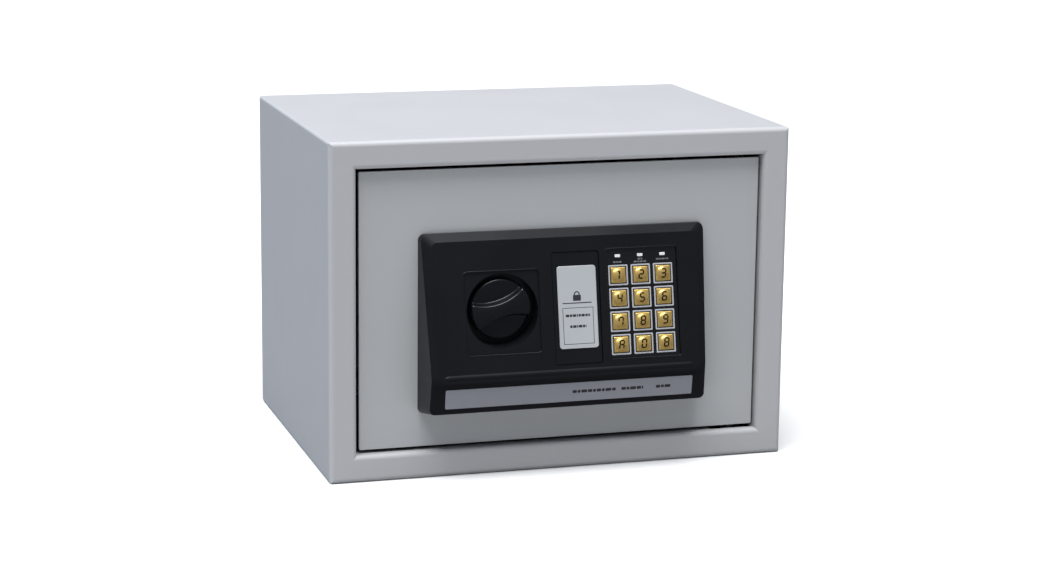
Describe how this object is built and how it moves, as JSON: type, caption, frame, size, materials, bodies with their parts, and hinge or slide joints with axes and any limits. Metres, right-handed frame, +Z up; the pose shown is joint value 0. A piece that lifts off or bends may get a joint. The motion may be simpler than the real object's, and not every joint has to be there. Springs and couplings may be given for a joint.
{
  "type": "in-room safe",
  "caption": "Small steel cabinet safe with a plate door, a sloping black control panel with turning knob, keypad and lift-off lock cover, and sliding locking bolts.",
  "frame": {"origin": "on the underside of the cabinet floor, at the centre of the cabinet's footprint (the control panel stands out in front of that footprint)", "axes": "+X to the right seen from the front, +Y towards the back, +Z up"},
  "size_m": [0.35, 0.2709, 0.25],
  "materials": {
    "grey_paint": "light grey satin powder coat",
    "door_paint": "light grey satin powder coat",
    "mat_felt": "dark grey needle felt",
    "zinc_steel": "bright zinc plated",
    "bolt_steel": "polished and chrome plated",
    "black_abs": "fine moulded texture",
    "knob_abs": "satin moulding",
    "fascia_black": "printed film",
    "key_gold": "gold lacquered cap",
    "plate_silver": "satin silver, printed",
    "strip_silver": "satin grey silver, printed",
    "lamp_clear": "milky lens",
    "mat_rubber": "matt",
    "board_green": "solder resist",
    "part_black": "matt",
    "brass": "turned",
    "coil_copper": "lacquered winding",
    "cell_wrap": "printed sleeve",
    "button_red": "plain",
    "spring_steel": "drawn wire"
  },
  "bodies": {
    "cabinet": {"body_shell": "grey_paint", "back_panel": "grey_paint", "floor_mat": "mat_felt", "hinge_bracket_upper": "zinc_steel", "hinge_bracket_lower": "zinc_steel"},
    "door": {"door_plate": "door_paint", "hinge_lug_upper": "zinc_steel", "hinge_lug_lower": "zinc_steel", "hinge_pin_upper": "bolt_steel", "hinge_pin_lower": "bolt_steel", "bolt_guide": "zinc_steel", "guide_studs": "zinc_steel", "inner_cover": "grey_paint", "cover_screws": "zinc_steel", "battery_holder": "part_black", "batteries": "cell_wrap", "solenoid_frame": "zinc_steel", "solenoid_coil": "coil_copper", "plunger_spring": "spring_steel", "lock_body": "bolt_steel", "lock_nut": "zinc_steel", "knob_bush": "brass", "panel_housing": "black_abs", "panel_screws": "zinc_steel", "circuit_board": "board_green", "buzzer": "part_black", "led_lenses": "lamp_clear", "keypad_mat": "mat_rubber", "keypad_fascia": "fascia_black", "strip_label": "strip_silver", "reset_switch": "part_black"},
    "knob_group": {"knob": "knob_abs", "knob_shaft": "zinc_steel", "shaft_clip": "zinc_steel", "crank": "zinc_steel", "crank_pin": "bolt_steel"},
    "bolts": {"bolt_carriage": "zinc_steel", "bolt_upper": "bolt_steel", "bolt_lower": "bolt_steel"},
    "plunger": {"solenoid_plunger": "bolt_steel"},
    "override_lock": {"lock_plug": "brass", "lock_cam": "zinc_steel"},
    "emergency_cover": {"override_cover": "black_abs", "cover_plate": "plate_silver"},
    "battery_lid": {"battery_door": "part_black"},
    "reset_push": {"reset_button": "button_red"},
    "key_1_cap": {"key_1": "key_gold"},
    "key_2_cap": {"key_2": "key_gold"},
    "key_3_cap": {"key_3": "key_gold"},
    "key_4_cap": {"key_4": "key_gold"},
    "key_5_cap": {"key_5": "key_gold"},
    "key_6_cap": {"key_6": "key_gold"},
    "key_7_cap": {"key_7": "key_gold"},
    "key_8_cap": {"key_8": "key_gold"},
    "key_9_cap": {"key_9": "key_gold"},
    "key_a_cap": {"key_a": "key_gold"},
    "key_0_cap": {"key_0": "key_gold"},
    "key_b_cap": {"key_b": "key_gold"}
  },
  "joints": [
    {"name": "door_hinge", "type": "hinge", "parent": "cabinet", "child": "door", "pos_m": [0.1372, -0.1123, 0.125], "axis": [0, 0, 1], "range_deg": [0, 100]},
    {"name": "knob_turn", "type": "hinge", "parent": "door", "child": "knob_group", "pos_m": [-0.0492, -0.125, 0.1242], "axis": [0, 1, 0], "range_deg": [0, 72]},
    {"name": "bolt_slide", "type": "slide", "parent": "door", "child": "bolts", "axis": [-1, 0, 0], "range_m": [0, 0.015]},
    {"name": "plunger_slide", "type": "slide", "parent": "door", "child": "plunger", "axis": [0, 0, -1], "range_m": [0, 0.004], "deforming": ["plunger_spring"]},
    {"name": "override_turn", "type": "hinge", "parent": "door", "child": "override_lock", "pos_m": [0.0073, -0.12, 0.145], "axis": [0, -1, 0], "range_deg": [-90, 0]},
    {"name": "emergency_cover_pull", "type": "slide", "parent": "door", "child": "emergency_cover", "axis": [0, -0.9799, 0.1994], "range_m": [0, 0.03]},
    {"name": "battery_lid_pull", "type": "slide", "parent": "door", "child": "battery_lid", "axis": [0, 1, 0], "range_m": [0, 0.03]},
    {"name": "reset_press", "type": "slide", "parent": "door", "child": "reset_push", "axis": [0, -1, 0], "range_m": [0, 0.001], "stiffness_N_per_m": 300},
    {"name": "key_1_press", "type": "slide", "parent": "door", "child": "key_1_cap", "axis": [0, 0.9799, -0.1994], "range_m": [0, 0.0006], "stiffness_N_per_m": 400},
    {"name": "key_2_press", "type": "slide", "parent": "door", "child": "key_2_cap", "axis": [0, 0.9799, -0.1994], "range_m": [0, 0.0006], "stiffness_N_per_m": 400},
    {"name": "key_3_press", "type": "slide", "parent": "door", "child": "key_3_cap", "axis": [0, 0.9799, -0.1994], "range_m": [0, 0.0006], "stiffness_N_per_m": 400},
    {"name": "key_4_press", "type": "slide", "parent": "door", "child": "key_4_cap", "axis": [0, 0.9799, -0.1994], "range_m": [0, 0.0006], "stiffness_N_per_m": 400},
    {"name": "key_5_press", "type": "slide", "parent": "door", "child": "key_5_cap", "axis": [0, 0.9799, -0.1994], "range_m": [0, 0.0006], "stiffness_N_per_m": 400},
    {"name": "key_6_press", "type": "slide", "parent": "door", "child": "key_6_cap", "axis": [0, 0.9799, -0.1994], "range_m": [0, 0.0006], "stiffness_N_per_m": 400},
    {"name": "key_7_press", "type": "slide", "parent": "door", "child": "key_7_cap", "axis": [0, 0.9799, -0.1994], "range_m": [0, 0.0006], "stiffness_N_per_m": 400},
    {"name": "key_8_press", "type": "slide", "parent": "door", "child": "key_8_cap", "axis": [0, 0.9799, -0.1994], "range_m": [0, 0.0006], "stiffness_N_per_m": 400},
    {"name": "key_9_press", "type": "slide", "parent": "door", "child": "key_9_cap", "axis": [0, 0.9799, -0.1994], "range_m": [0, 0.0006], "stiffness_N_per_m": 400},
    {"name": "key_a_press", "type": "slide", "parent": "door", "child": "key_a_cap", "axis": [0, 0.9799, -0.1994], "range_m": [0, 0.0006], "stiffness_N_per_m": 400},
    {"name": "key_0_press", "type": "slide", "parent": "door", "child": "key_0_cap", "axis": [0, 0.9799, -0.1994], "range_m": [0, 0.0006], "stiffness_N_per_m": 400},
    {"name": "key_b_press", "type": "slide", "parent": "door", "child": "key_b_cap", "axis": [0, 0.9799, -0.1994], "range_m": [0, 0.0006], "stiffness_N_per_m": 400}
  ],
  "couplings": [
    {"joint": "knob_turn", "follows": "bolt_slide", "rad_per_m": 83.776}
  ]
}
